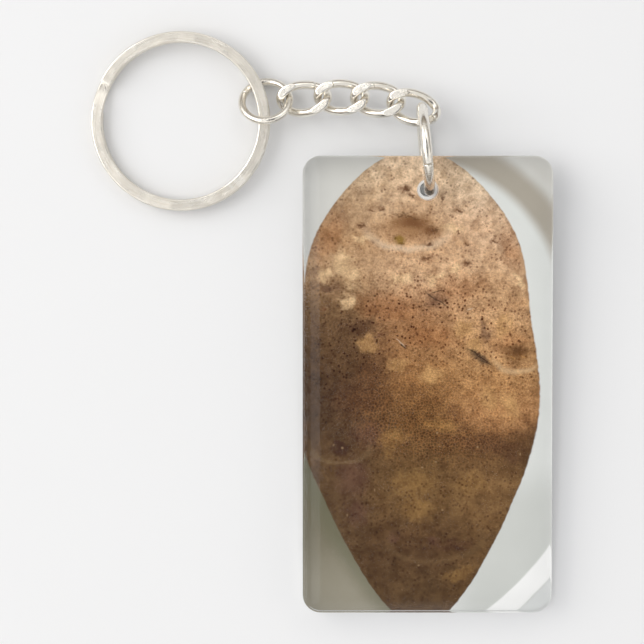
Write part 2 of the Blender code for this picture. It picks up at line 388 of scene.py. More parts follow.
# %% Handling: grease, dull spots and tarnish
sockets = {"Place": (0, 0, 0), "Patch": 4.0, "Cover": 0.5}
sheet, given, out = new_effect("Handling", sockets, ["Grease", "Spots"])
wide = sheet.noise(given["Place"], sheet.math("DIVIDE", 1.0, given["Patch"]), 5.0, 0.6, 0.6)
edge = sheet.rest(given["Cover"])
sheet.feed(out["Grease"], sheet.fade(wide, edge, sheet.math("ADD", edge, 0.25)))
fine = sheet.cells(given["Place"], sheet.math("DIVIDE", 3.0, given["Patch"]))
sheet.feed(out["Spots"], sheet.times(sheet.fade(fine, 0.12, 0.04), sheet.fade(wide, 0.5, 0.6)))
handling = done(sheet)

# %% [markdown]
# ## Nickel plate
# Cheap key hardware is steel with a bright nickel plate. Nickel is a little warmer than chrome. Flat wire
# keeps the lines of the rollers, round wire is polished by its tumbling, and the links are cut flat by a
# diamond tool, which leaves near-mirror faces. One maker function covers the three, because they differ
# only in how strong each effect is. Worn edges show where the plate is rubbed bright, and the inner curves
# turn a darker brown, so both come from how sharply the surface bends.

# %% The plated finish
NICKEL = paint(243, 239, 231)
NICKEL_SHADE = paint(198, 188, 170)
FILM = paint(120, 96, 66)


def nickel(title, polish, lines, spacing, scratched, film):
    """A nickel plate: its roughness, and how strong its lines, scratches and brown film are."""
    finish, sheet, shader = new_finish(title)
    place = sheet.millimetres()
    drawn = sheet.effect(drawing_lines, Spacing=spacing, Stretch=28.0)["Lines"]
    hairs = sheet.effect(hair_scratches, Place=place, Scale=1.2, Amount=scratched)["Scratches"]
    worn = sheet.effect(handling, Place=place, Patch=3.0, Cover=0.45)
    bend = sheet.node("ShaderNodeNewGeometry").outputs["Pointiness"]
    rubbed = sheet.fade(bend, 0.50, 0.56)
    hollow = sheet.times(sheet.fade(bend, 0.50, 0.43), film)
    tone = sheet.blend(sheet.times(drawn, lines), NICKEL, NICKEL_SHADE)
    tone = sheet.blend(sheet.times(worn["Grease"], film), tone, NICKEL_SHADE)
    tone = sheet.blend(sheet.times(worn["Spots"], film), tone, FILM)
    tone = sheet.blend(hollow, tone, FILM)
    tone = sheet.blend(sheet.times(rubbed, 0.5), tone, paint(246, 244, 238))
    sheet.feed(shader["Base Color"], tone)
    shader["Metallic"].default_value = 1.0
    dull = sheet.line(drawn, 0.10 * lines, polish)
    dull = sheet.line(worn["Grease"], 0.10, dull)
    dull = sheet.line(hairs, 0.15, dull)
    sheet.feed(shader["Roughness"], dull)
    height = sheet.line(drawn, lines, sheet.times(hairs, -1.0))
    sheet.relief(shader, 0.35, 0.01, height)
    return finish


NICKEL_KINDS = (
    # title, roughness, strength and spacing of the lines, scratches, film
    ("flat wire nickel", 0.26, 0.55, 0.16, 0.8, 0.30),
    ("round wire nickel", 0.17, 0.25, 0.35, 0.4, 0.55),
    ("diamond cut nickel", 0.13, 0.15, 0.45, 0.35, 0.85),
)
flat_wire_nickel, round_wire_nickel, cut_link_nickel = (nickel(*kind) for kind in NICKEL_KINDS)
print("nickel finishes ready")

# %% [markdown]
# ## The split ring
# A split ring is flat wire wound nearly twice. Seen from above, one coil hides the other, and only the
# short step gives the winding away. It is lofted from a flat section with rounded corners. The section
# stays upright all the way, and its height follows a smooth step from the upper coil to the lower one.
# The loft is kept a hair smaller than the frame's polygon, so that the round shape stays inside it.

# %% Split ring
BAND_WIDTH = 1.6
COIL_GAP = 0.08
BAND_FILLET = 0.18
STEP_STARTS = math.radians(174.0)
STEP_ENDS = math.radians(153.6)
COIL_STATIONS = 190
FILLET_STEPS = 4
HOLDING = 0.03
HAIR = 0.03

coil_height = (split_height - COIL_GAP) / 2


def flat_section(width, height, fillet):
    """Points round a flat wire's section, as (outwards, up), with a holding point beside each fillet."""
    points = []
    for side_x, side_y, start in ((1, -1, -90), (1, 1, 0), (-1, 1, 90), (-1, -1, 180)):
        middle = Vector((side_x * (width / 2 - fillet), side_y * (height / 2 - fillet), 0.0))
        arc = [heading(math.radians(start + 90 * i / FILLET_STEPS)) for i in range(FILLET_STEPS + 1)]
        bend = [middle + turn * fillet for turn in arc]
        before = Vector((-arc[0].y, arc[0].x, 0.0)) * HOLDING
        after = Vector((-arc[-1].y, arc[-1].x, 0.0)) * HOLDING
        points += [bend[0] - before, *bend, bend[-1] + after]
    return points


def band_height(angle):
    """Height of the band's middle over the ring's underside, where the angle runs down clockwise."""
    low = coil_height / 2
    high = low + coil_height + COIL_GAP
    along = (STEP_STARTS - angle) / (STEP_STARTS - STEP_ENDS)
    along = min(max(along, 0.0), 1.0)
    return high + (low - high) * along * along * (3 - 2 * along)


section = flat_section(BAND_WIDTH - HAIR, coil_height, BAND_FILLET)
middle_radius = split_outer - HAIR - BAND_WIDTH / 2
first = STEP_ENDS + 2 * math.pi
last = STEP_STARTS - 2 * math.pi
rows = []
for i in range(2 * COIL_STATIONS + 1):
    angle = first + (last - first) * i / (2 * COIL_STATIONS)
    level = Z_AXIS * band_height(angle)
    rows.append([heading(angle) * (middle_radius + p.x) + Z_AXIS * p.y + level for p in section])
split_ring = loft("flat_wire_split_ring", soften_ends(rows, 0.07), split_frame)
fit(split_ring, "split_ring", "split_ring", flat_wire_nickel)

# %% [markdown]
# ## The round wire rings
# The jump ring and the connector ring are round wire bent to a circle and closed by pliers, so each has a
# butt joint that never quite shuts. A torus has no such joint, and a loft along the circle has. The jump
# ring lies aslant on the split ring. The connector stands on its edge and carries the tag.

# %% Jump ring and connector ring
BUTT_GAP = 0.12
RING_STATIONS = 200
WIRE_SIDES = 28


def wire_rings(radius, wire, butt):
    """Sections of a round wire on a circle round local Z, open by the butt gap at the angle given."""
    half_gap = BUTT_GAP / 2 / radius
    rows = []
    for i in range(RING_STATIONS + 1):
        out = heading(butt + half_gap + (2 * math.pi - 2 * half_gap) * i / RING_STATIONS)
        turns = [2 * math.pi * k / WIRE_SIDES for k in range(WIRE_SIDES)]
        tube = [(wire / 2 * math.cos(t), wire / 2 * math.sin(t)) for t in turns]
        rows.append([out * (radius + away) + Z_AXIS * up for away, up in tube])
    return soften_ends(rows, 0.06)


def ring_size(node, matrix):
    """A CAD ring's middle radius and its wire's thickness."""
    corners = local_corners(node, matrix)
    wire = float(np.ptp(corners[:, 2]))
    outer = float(np.hypot(corners[:, 0], corners[:, 1]).max())
    return outer - wire / 2, wire


RINGS = (
    # piece, CAD node and body, hinge at its centre, local X, place of the butt joint
    ("round_wire_jump_ring", "jump_ring", "link_1_on_jump_ring", X_AXIS, 155.0),
    ("round_wire_connector", "connector_ring", "tag_on_connector_ring", Vector((0, -1, 0)), 68.0),
)
for title, node, pin, x_hint, butt in RINGS:
    centre, axis = hinge(pin)
    ring_frame = stand(centre, axis, x_hint)
    radius, wire = ring_size(node, ring_frame)
    print(f"{title}: radius {radius:.2f} mm, wire {wire:.2f} mm")
    rows = wire_rings(radius - HAIR, wire - HAIR, math.radians(butt))
    fit(loft(title, rows, ring_frame), node, node, round_wire_nickel)

# %% [markdown]
# ## The curb links
# A curb link is an oval of round wire, twisted a quarter turn so that it lies flat against its
# neighbours, and then cut flat on both broad sides. The twist and the oval are one formula for the wire's
# middle line. A cut made with a boolean would leave ragged edges on a round wire, so each section is drawn
# as a circle with flats where it meets the two cutting planes, and a small bevel at each flat's edge. The
# points are shared out between arc and flat, which keeps the quads clean where a flat begins and ends.

# %% Curb link shape
LINK_WIRE = 1.235
LINK_SQUARENESS = 2.5
LINK_STATIONS = 230
ARC_STEPS = 9
FLAT_STEPS = 5
CUT_BEVEL = 0.035
FINE_STEPS = 3000
NO_CUT = math.sin(math.radians(80.0))


def link_line(angle, half_length, half_width):
    """A point of the wire's middle line: a squared oval, twisted a quarter turn from end to end."""
    power = 2 / LINK_SQUARENESS
    x = half_length * math.copysign(abs(math.cos(angle)) ** power, math.cos(angle))
    y = half_width * math.copysign(abs(math.sin(angle)) ** power, math.sin(angle))
    twist = -math.pi / 4 * x / half_length
    return Vector((x, y * math.cos(twist), y * math.sin(twist)))


def even_steps(line, gap, count):
    """Points at equal steps along a line that is already fine, leaving out the gap."""
    travelled = running_lengths(line)
    stops = [gap / 2 + (travelled[-1] - gap) * i / count for i in range(count + 1)]
    parts = [np.interp(stops, travelled, [p[axis] for p in line]) for axis in range(3)]
    return [Vector(p) for p in zip(*parts)]


def half_cut(share):
    """The upper half of a section of radius 1, from its right to its left: arc, bevel, flat at
    height share, bevel, arc. Above the no-cut limit the flat is only the top of the circle."""
    corner = math.asin(min(share, NO_CUT))
    lean = CUT_BEVEL / (LINK_WIRE / 2)
    arc = [corner * i / ARC_STEPS for i in range(ARC_STEPS)] + [corner - lean]
    right = [(math.cos(t), math.sin(t)) for t in arc]
    reach = math.cos(corner)
    flat_reach = reach * (1 - lean / max(reach, 2 * lean))
    flat = [flat_reach * (1 - 2 * i / FLAT_STEPS) for i in range(FLAT_STEPS + 1)]
    top = [(x, min(share, math.sqrt(1 - x * x))) for x in flat]
    return right + top + [(-x, y) for x, y in reversed(right)]


def link_section(point, tangent, cut):
    """A section of the wire with flats where it meets the planes at local Z = cut and -cut."""
    level = Z_AXIS.cross(tangent).normalized()
    upright = tangent.cross(level)
    radius = LINK_WIRE / 2
    reach = radius * upright.z
    upper = half_cut(min((cut - point.z) / reach, 1.0))
    lower = [(-x, -y) for x, y in half_cut(min((cut + point.z) / reach, 1.0))]
    return [point + level * (x * radius) + upright * (y * radius) for x, y in upper + lower[1:-1]]


def link_rows(length, width, cut, butt):
    half_length = (length - LINK_WIRE) / 2
    half_width = (width - LINK_WIRE) / 2
    turns = [butt + 2 * math.pi * i / FINE_STEPS for i in range(FINE_STEPS + 1)]
    line = even_steps([link_line(t, half_length, half_width) for t in turns], BUTT_GAP, LINK_STATIONS)
    rows = []
    for i, point in enumerate(line):
        ahead = line[min(i + 1, LINK_STATIONS)] - line[max(i - 1, 0)]
        rows.append(link_section(point, ahead.normalized(), cut))
    return soften_ends(rows, 0.04)


print("curb link shape ready")

# %% [markdown]
# ## Laying the links
# The frame's hinges give the plane that the chain lies in. Within that plane each link's long direction
# is the one in which its CAD corners spread the most, which numpy finds as the strongest eigenvector. The
# link's size is then measured in its own frame, and only the place of each butt joint is given.

# %% Four links
LINK_BUTTS = (70.0, 108.0, 100.0, -25.0)

_, chain_normal = hinge("link_2_on_link_1")
chain_normal = chain_normal if chain_normal.z > 0 else -chain_normal


def link_frame(node):
    """A link's own frame, with local X along it, and its length, width and half height between cuts."""
    rough = stand(Vector(), chain_normal, X_AXIS)
    corners = local_corners(node, rough)
    flat = corners[:, :2] - corners[:, :2].mean(axis=0)
    long_way = np.linalg.eigh(flat.T @ flat)[1][:, -1]
    turn = Matrix.Rotation(math.atan(long_way[1] / long_way[0]), 4, "Z")
    corners = local_corners(node, rough @ turn)
    centre = Vector((corners.min(axis=0) + corners.max(axis=0)) / 2)
    placed = rough @ turn @ Matrix.Translation(centre * MM)
    return placed, np.ptp(corners, axis=0)


for number, butt in enumerate(LINK_BUTTS, start=1):
    node = f"chain_link_{number}"
    matrix, sizes = link_frame(node)
    length, width, thickness = (float(x) for x in sizes)
    print(f"{node}: {length:.2f} by {width:.2f} mm, {thickness:.2f} mm between its cuts")
    rows = link_rows(length - HAIR, width - HAIR, thickness / 2, math.radians(butt))
    link = loft(f"cut_curb_link_{number}", rows, matrix)
    fit(link, node, node, cut_link_nickel)

# %% [markdown]
# ## The tag's layers
# The tag is a sandwich: a thick clear front, the printed picture, and a thin white back. All three have
# one rounded outline and one hole. A cube with a bevel modifier and a boolean hole would do for a quick
# stand-in, but then the top face is one large polygon whose shading bends at its rim. Here each layer is a
# stack of outline loops, joined by quads, and only the two flat faces are filled. The clear front is also
# crowned: laser-cut and flame-polished acrylic falls away a little towards its edges, and that slope is
# what catches a band of light along one side.

# %% Tag frame and outline
face = next(m for m in frame["record"]["mounts"] if m["name"] == "tag_front_face")
tag_frame = stand(Vector(face["pos_m"]), face["axis"], X_AXIS)
front_corners = local_corners("front_plate", tag_frame)
tag_width, tag_length, _ = (float(x) for x in np.ptp(front_corners, axis=0))
tag_bottom = float(local_corners("back_plate", tag_frame)[:, 2].min())
print(f"tag: {tag_width:.2f} by {tag_length:.2f} mm, {-tag_bottom:.2f} mm thick")

# %% Loops of the outline and the hole
TAG_CORNER = 2.5
TIGHTEST_CORNER = 0.35
CORNER_STEPS = 12
HOLE_SIDES = 64
HOLE_FROM_TOP = 4.65
hole_place = Vector((0.0, tag_length / 2 - HOLE_FROM_TOP, 0.0))


def outline_loop(inset, depth):
    """The tag's outline, moved in by inset, at depth below the front face."""
    corner = max(TAG_CORNER - inset, TIGHTEST_CORNER)
    across = tag_width / 2 - inset - corner
    along = tag_length / 2 - inset - corner
    loop = []
    for side_x, side_y, start in ((1, 1, 0), (-1, 1, 90), (-1, -1, 180), (1, -1, 270)):
        middle = Vector((side_x * across, side_y * along, -depth))
        for i in range(CORNER_STEPS + 1):
            loop.append(middle + heading(math.radians(start + 90 * i / CORNER_STEPS)) * corner)
    return loop


def hole_loop(radius, depth):
    turns = [2 * math.pi * i / HOLE_SIDES for i in range(HOLE_SIDES)]
    return [hole_place + heading(t) * radius - Z_AXIS * depth for t in turns]


def quarter_turn(size, steps):
    """Inset and drop at each step of a quarter round, from the wall up to the flat."""
    turns = [math.pi / 2 * i / steps for i in range(steps + 1)]
    return [(size * (1 - math.cos(t)), size * (1 - math.sin(t))) for t in turns]


def layer(name, outline, hole):
    """A plate with a hole. outline runs from the lower face's rim round to the upper face's rim, as
    (inset, depth), and hole runs from the upper face's rim down to the lower face's, as (radius, depth)."""
    shape = bmesh.new()
    outer = [[shape.verts.new(p * MM) for p in outline_loop(*step)] for step in outline]
    inner = [[shape.verts.new(p * MM) for p in hole_loop(*step)] for step in hole]
    for stack in (outer, inner):
        for lower, upper in zip(stack, stack[1:]):
            for k in range(len(lower)):
                n = (k + 1) % len(lower)
                shape.faces.new((lower[k], lower[n], upper[n], upper[k]))
    for rims in ((outer[-1], inner[0]), (outer[0], inner[-1])):
        edges = [shape.edges.get((rim[k - 1], rim[k])) for rim in rims for k in range(len(rim))]
        bmesh.ops.triangle_fill(shape, use_beauty=True, edges=edges)
    return finish_piece(shape, name, 35.0, tag_frame)


print(f"hole {hole_place.y:.2f} mm above the tag's middle")

# %% [markdown]
# ## The crowned front, as numbers
# The crown is a parabola: flat at 2.9 mm from the edge, and a quarter of a millimetre lower at the rim. A
# small quarter round then turns down into the wall. The hole is drilled and its rim is polished, so it gets
# a smaller quarter round. A last loop just inside each of these is level with the flat face, and holds its
# shading straight. The printed film is cut a little smaller than the acrylic. The hole of the white back
# widens downwards like a countersink, so a pale collar shows round the wire, with room for its curve.

# %% Section of each layer
EDGE_ROUND = 0.3
CROWN_WIDTH = 2.9
CROWN_DROP = 0.25
CROWN_STEPS = 14
HOLE_RADIUS = 1.45
HOLE_ROUND = 0.12
FRONT_DEPTH = 3.36
PRINT_DEPTHS = (3.38, 3.60)
BACK_TOP = 3.62
PRINT_INSET = 0.25
PRINT_HOLE_RADIUS = 1.52
BACK_HOLE_RADIUS = 1.0


def crown_drop(inset):
    share = (CROWN_WIDTH - inset) / (CROWN_WIDTH - EDGE_ROUND)
    return CROWN_DROP * max(share, 0.0) ** 2


front_outline = [(0.2, FRONT_DEPTH), (0.08, FRONT_DEPTH), (0.0, FRONT_DEPTH - 0.08)]
front_outline += [(inset, CROWN_DROP + drop) for inset, drop in quarter_turn(EDGE_ROUND, 6)]
for i in range(1, CROWN_STEPS + 1):
    inset = EDGE_ROUND + (CROWN_WIDTH - EDGE_ROUND) * i / CROWN_STEPS
    front_outline.append((inset, crown_drop(inset)))
front_outline.append((CROWN_WIDTH + HOLDING, 0.0))
rim = [(HOLE_RADIUS + inset, drop) for inset, drop in reversed(quarter_turn(HOLE_ROUND, 4))]
foot = [(radius, FRONT_DEPTH - drop) for radius, drop in reversed(rim)]
front_hole = [(rim[0][0] + HOLDING, 0.0), *rim, *foot, (foot[-1][0] + HOLDING, FRONT_DEPTH)]

print_top, print_bottom = PRINT_DEPTHS
print_outline = [(PRINT_INSET, print_bottom), (PRINT_INSET, print_top)]
print_hole = [(PRINT_HOLE_RADIUS, print_top), (PRINT_HOLE_RADIUS, print_bottom)]

back_bottom = -tag_bottom
back_outline = [(EDGE_ROUND + HOLDING, back_bottom)]
back_outline += [(inset, back_bottom - drop) for inset, drop in reversed(quarter_turn(EDGE_ROUND, 6))]
back_outline += [(0.0, BACK_TOP + 0.05), (0.05, BACK_TOP), (0.05 + HOLDING, BACK_TOP)]
back_hole = [(BACK_HOLE_RADIUS + 0.08 + HOLDING, BACK_TOP), (BACK_HOLE_RADIUS + 0.08, BACK_TOP)]
back_hole += [(BACK_HOLE_RADIUS, BACK_TOP + 0.08)]
back_hole += [(radius, back_bottom - drop) for radius, drop in reversed(rim)]
back_hole += [(rim[0][0] + HOLDING, back_bottom)]
print(f"crown: {CROWN_DROP} mm over {CROWN_WIDTH} mm")

# %% [markdown]
# ## Clear acrylic
# Acrylic is glass to a renderer: full transmission, and a refractive index of 1.49. Lamps can't shine
# through refracting glass without very many samples. So rays towards a lamp, and rays that leave the print,
# go straight through a Transparent shader instead. What gives real acrylic away is its surface: finger
# grease and hair scratches, too faint to see in themselves, break up the reflection of the lights.

# %% Clear acrylic finish
WALL_DIMMING = (0.52, 0.53, 0.55)
clear_acrylic, sheet, shader = new_finish("clear acrylic")
shader["Transmission Weight"].default_value = 1.0
shader["IOR"].default_value = 1.49
place = sheet.millimetres(tag_frame)
worn = sheet.effect(handling, Place=place, Patch=9.0, Cover=0.4)
hairs = sheet.effect(hair_scratches, Place=place, Scale=0.8, Amount=0.5)["Scratches"]
off_hole = sheet.vector("SUBTRACT", sheet.scaled(place, (1, 1, 0)), tuple(hole_place))
drilled = sheet.fade(sheet.vector("LENGTH", off_hole), HOLE_RADIUS + HOLE_ROUND, HOLE_RADIUS + 0.02)
sheet.feed(shader["Roughness"], sheet.line(drilled, 0.45, 0.02))
sheet.feed(shader["Base Color"], sheet.blend(worn["Grease"], (1.0, 1.0, 1.0), (0.985, 0.99, 0.99)))
sheet.relief(shader, 0.2, 0.004, sheet.line(worn["Grease"], 0.4, hairs))

paths = sheet.node("ShaderNodeLightPath").outputs
outward = sheet.node("ShaderNodeNewGeometry").outputs["Normal"]
facing = sheet.vector("DOT_PRODUCT", outward, tuple(tag_frame.col[2].xyz))
edge = sheet.fade(sheet.math("ABSOLUTE", facing), 0.9, 0.5)
edge = sheet.times(edge, sheet.rest(drilled))
straight = sheet.node("ShaderNodeBsdfTransparent")
sheet.feed(straight.inputs["Color"], sheet.blend(edge, (1.0, 1.0, 1.0), WALL_DIMMING))
mixed = sheet.node("ShaderNodeMixShader")
sheet.feed(mixed.inputs[0], sheet.math("MAXIMUM", paths["Is Shadow Ray"], paths["Is Diffuse Ray"]))
principled = clear_acrylic.node_tree.nodes["Principled BSDF"]
sheet.tree.links.new(principled.outputs[0], mixed.inputs[1])
sheet.tree.links.new(straight.outputs[0], mixed.inputs[2])
output = clear_acrylic.node_tree.nodes["Material Output"]
sheet.tree.links.new(mixed.outputs[0], output.inputs["Surface"])

front = layer("clear_front", front_outline, front_hole)
fit(front, "tag", "front_plate", clear_acrylic)

# %% [markdown]
# ## The white back
# The back is the same acrylic in opaque white. It is glossy, so it is the hair scratches and the dull
# patches of handling in its roughness that stop it from looking like a flat colour.

# %% White back
white_acrylic, sheet, shader = new_finish("white acrylic")
place = sheet.millimetres(tag_frame)
worn = sheet.effect(handling, Place=place, Patch=7.0, Cover=0.5)
hairs = sheet.effect(hair_scratches, Place=place, Scale=0.9, Amount=0.8)["Scratches"]
cloud = sheet.noise(place, 0.12, 4.0)
tone = sheet.blend(cloud, paint(242, 242, 240), paint(233, 234, 233))
tone = sheet.blend(sheet.times(worn["Grease"], 0.25), tone, paint(226, 223, 214))
sheet.feed(shader["Base Color"], sheet.blend(sheet.times(hairs, 0.3), tone, paint(214, 214, 212)))
dull = sheet.line(worn["Grease"], 0.12, 0.14)
sheet.feed(shader["Roughness"], sheet.line(hairs, 0.25, dull))
sheet.relief(shader, 0.3, 0.006, sheet.times(hairs, -1.0))

back = layer("white_back", back_outline, back_hole)
fit(back, "tag", "back_plate", white_acrylic)

# %% [markdown]
# ## The printed picture
# The print shows a russet potato on a pale plate. An image file would be the usual way to make it, but a
# drawing made of nodes stays sharp at any size and needs nothing beside the script. It is painted as a
# painter would: a ground of large tones, then patches, then the netting of the skin, then eyes and scars,
# and last the plate round it. Three brushes do most of the work, and each is a node group: a soft spot, a
# cloud of blotches, and the russet netting. Distances are millimetres from the middle of the tag.

# %% Brush 1: a soft spot
sockets = {"Place": (0, 0, 0), "Centre": (0, 0, 0), "Across": (1, 0, 0), "Up": (0, 1, 0), "Core": 0.3}
sheet, given, out = new_effect("Soft spot", sockets, ["Mask"])
away = sheet.vector("SUBTRACT", given["Place"], given["Centre"])
squares = 0.0
for direction in ("Across", "Up"):
    share = sheet.vector("DOT_PRODUCT", away, given[direction])
    squares = sheet.line(share, share, squares)
sheet.feed(out["Mask"], sheet.fade(sheet.math("SQRT", squares), 1.25, given["Core"]))
soft_spot = done(sheet)

# %% Brush 2: blotches
sockets = {"Place": (0, 0, 0), "Size": 4.0, "Cover": 0.5, "Soft": 0.1}
sheet, given, out = new_effect("Blotches", sockets, ["Mask"])
cloud = sheet.noise(given["Place"], sheet.math("DIVIDE", 1.0, given["Size"]), 4.0, 0.55, 0.4)
edge = sheet.rest(given["Cover"])
low = sheet.math("SUBTRACT", edge, given["Soft"])
sheet.feed(out["Mask"], sheet.fade(cloud, low, sheet.math("ADD", edge, given["Soft"])))
blotches = done(sheet)

# %% Brush 3: russet netting
sockets = {"Place": (0, 0, 0), "Mesh": 0.5}
sheet, given, out = new_effect("Russet netting", sockets, ["Dots", "Threads", "Grain"])
rag = sheet.vector("SUBTRACT", sheet.noise(given["Place"], 2.6, 2.0, 0.5, colour=True), (0.5, 0.5, 0.5))
bent = sheet.vector("ADD", given["Place"], sheet.scaled(rag, (0.20, 0.20, 0.20)))
often = sheet.math("DIVIDE", 1.0, given["Mesh"])
dots = sheet.fade(sheet.cells(bent, sheet.times(often, 1.15)), 0.42, 0.20)
uneven = sheet.fade(sheet.noise(given["Place"], 0.8, 2.0), 0.38, 0.62)
sheet.feed(out["Dots"], sheet.times(dots, sheet.line(uneven, 0.6, 0.4)))
threads = sheet.cells(bent, often, "DISTANCE_TO_EDGE")
sheet.feed(out["Threads"], sheet.fade(threads, 0.16, 0.02))
sheet.feed(out["Grain"], sheet.noise(given["Place"], sheet.times(often, 2.2), 2.0, 0.7))
russet_netting = done(sheet)

# %% [markdown]
# ## The ground: large tones of the skin
# Three colour strips run down the potato, for its left flank, its middle and its right side. They are
# light and rosy at the top, where the light falls, and deep brown below. The strips are mixed across the
# width, so the left flank falls into shade and the form looks round. Breadth against height follows one
# smooth curve, which also gives the outline.

# %% Picture sheet, outline and ground
picture, sheet, shader = new_finish("printed picture")
place = sheet.millimetres(tag_frame)
x, y, _ = sheet.split(place)
PICTURE_HEIGHT = 63.1
BREADTH_UNIT = 20.0
POTATO_LEAN, POTATO_SHIFT = -0.0125, -1.30
height = sheet.line(y, 1 / PICTURE_HEIGHT, 0.5)

HALF_BREADTHS = (
    # height up the picture, and half breadth of the potato there as a share of the breadth unit
    (0.0, 0.19), (0.05, 0.33), (0.115, 0.455), (0.23, 0.635), (0.38, 0.805), (0.46, 0.84), (0.54, 0.832),
    (0.64, 0.79), (0.72, 0.767), (0.78, 0.738), (0.83, 0.686), (0.87, 0.618), (0.91, 0.525), (0.95, 0.41),
    (0.98, 0.285), (1.0, 0.15),
)
breadth = sheet.node("ShaderNodeFloatCurve")
bow = breadth.mapping.curves[0]
bow.points[0].location = HALF_BREADTHS[0]
bow.points[1].location = HALF_BREADTHS[-1]
for spot in HALF_BREADTHS[1:-1]:
    bow.points.new(*spot)
breadth.mapping.update()
sheet.feed(breadth.inputs["Value"], height)
half = sheet.times(breadth.outputs[0], BREADTH_UNIT)
middle = sheet.line(y, POTATO_LEAN, POTATO_SHIFT)
side = sheet.math("SUBTRACT", x, middle)
rough = sheet.line(sheet.noise(place, 1.6, 3.0), 0.3, -0.15)
inside = sheet.math("ADD", sheet.math("SUBTRACT", half, sheet.math("ABSOLUTE", side)), rough)
potato = sheet.fade(inside, -0.08, 0.16)

LEFT_FLANK = (
    # height up the picture, and the colour there
    (0.05, (84, 62, 40)), (0.20, (84, 63, 42)), (0.33, (88, 66, 44)), (0.44, (74, 55, 39)),
    (0.55, (82, 60, 40)), (0.62, (98, 74, 51)), (0.68, (124, 97, 70)), (0.76, (168, 136, 104)),
    (0.84, (166, 134, 102)), (0.97, (198, 174, 146)),
)
MIDDLE = (
    (0.05, (82, 61, 39)), (0.15, (84, 61, 39)), (0.26, (107, 81, 50)), (0.35, (88, 65, 40)),
    (0.46, (98, 70, 42)), (0.56, (143, 106, 71)), (0.65, (158, 120, 87)), (0.74, (190, 156, 124)),
    (0.84, (184, 149, 116)), (0.96, (208, 182, 154)),
)
RIGHT_SIDE = (
    (0.05, (90, 66, 40)), (0.16, (98, 73, 46)), (0.26, (114, 86, 55)), (0.37, (92, 66, 42)),
    (0.43, (148, 109, 74)), (0.53, (162, 124, 85)), (0.62, (184, 146, 108)), (0.72, (188, 153, 119)),
    (0.86, (202, 172, 144)), (0.96, (212, 190, 164)),
)
wavy = sheet.line(sheet.noise(place, 0.11, 3.0), 0.09, -0.045)
level = sheet.math("ADD", height, wavy)
strips = [
    sheet.ramp(level, [(stop, paint(*colour)) for stop, colour in strip])
    for strip in (LEFT_FLANK, MIDDLE, RIGHT_SIDE)
]
skin = sheet.blend(sheet.fade(x, -11.0, -2.0), strips[0], strips[1])
skin = sheet.blend(sheet.fade(x, 0.0, 8.0), skin, strips[2])
print("ground painted")

# %% [markdown]
# ## Patches and mottling
# Russet skin is never even: it has cream patches where the cork is thin, and grey, olive or purple ones
# where it is bruised. The large ones are soft spots, placed one by one. Between them, blotches at three
# sizes make the skin restless.

# %% Ragged places, dabs and spots
def ragged(scale, reach, detail=3.0):
    """The place, pushed about by noise, so that what is drawn there gets an uneven edge."""
    push = sheet.vector("SUBTRACT", sheet.noise(place, scale, detail, 0.6, colour=True), (0.5, 0.5, 0.5))
    return sheet.vector("ADD", place, sheet.scaled(push, (reach, reach, 0.0)))


calm = ragged(0.5, 0.9)
loose = ragged(0.8, 3.2)
torn = ragged(1.9, 1.4)


def dab(mask, strength, under, colour, how="MIX"):
    """Lays a colour of the paint chart over another where the mask is, at the strength given."""
    return sheet.blend(sheet.times(mask, strength), under, paint(*colour), how)


def spots(marks, core=0.3, at=None):
    """One mask for many soft spots, each given as x, y, half width, half height and, where the spot is
    not level, its turn in degrees."""
    mask = 0.0
    for across, up, wide, tall, *turned in marks:
        turn = math.radians(sum(turned))
        spot = sheet.effect(
            soft_spot, Place=at or loose, Centre=(across, up, 0.0), Core=core,
            Across=(math.cos(turn) / wide, math.sin(turn) / wide, 0.0),
            Up=(-math.sin(turn) / tall, math.cos(turn) / tall, 0.0),
        )
        mask = sheet.math("MAXIMUM", mask, spot["Mask"])
    return mask


def crescent(across, up, wide, tall, turn, lift):
    """The lower edge of a hollow: one spot, less the same spot moved up by lift."""
    whole, less = (spots([(across, level, wide, tall, turn)], 0.9, calm) for level in (up, up + lift))
    return sheet.times(whole, sheet.rest(less))


print("brushes in hand")

# %% Mottling and patches
LIGHT_MOTTLES = ((7.0, 0.42, 0.20), (2.4, 0.40, 0.22), (0.9, 0.42, 0.20))
DARK_MOTTLES = ((5.5, 0.40, 0.16), (1.9, 0.38, 0.20), (0.7, 0.40, 0.20))
for size, cover, strength in LIGHT_MOTTLES:
    mask = sheet.effect(blotches, Place=place, Size=size, Cover=cover, Soft=0.08)["Mask"]
    skin = dab(mask, strength, skin, (160, 150, 138), "SOFT_LIGHT")
shifted = sheet.vector("ADD", place, (31.0, 17.0, 0.0))
for size, cover, strength in DARK_MOTTLES:
    mask = sheet.effect(blotches, Place=shifted, Size=size, Cover=cover, Soft=0.08)["Mask"]
    skin = dab(mask, strength, skin, (110, 84, 68), "MULTIPLY")

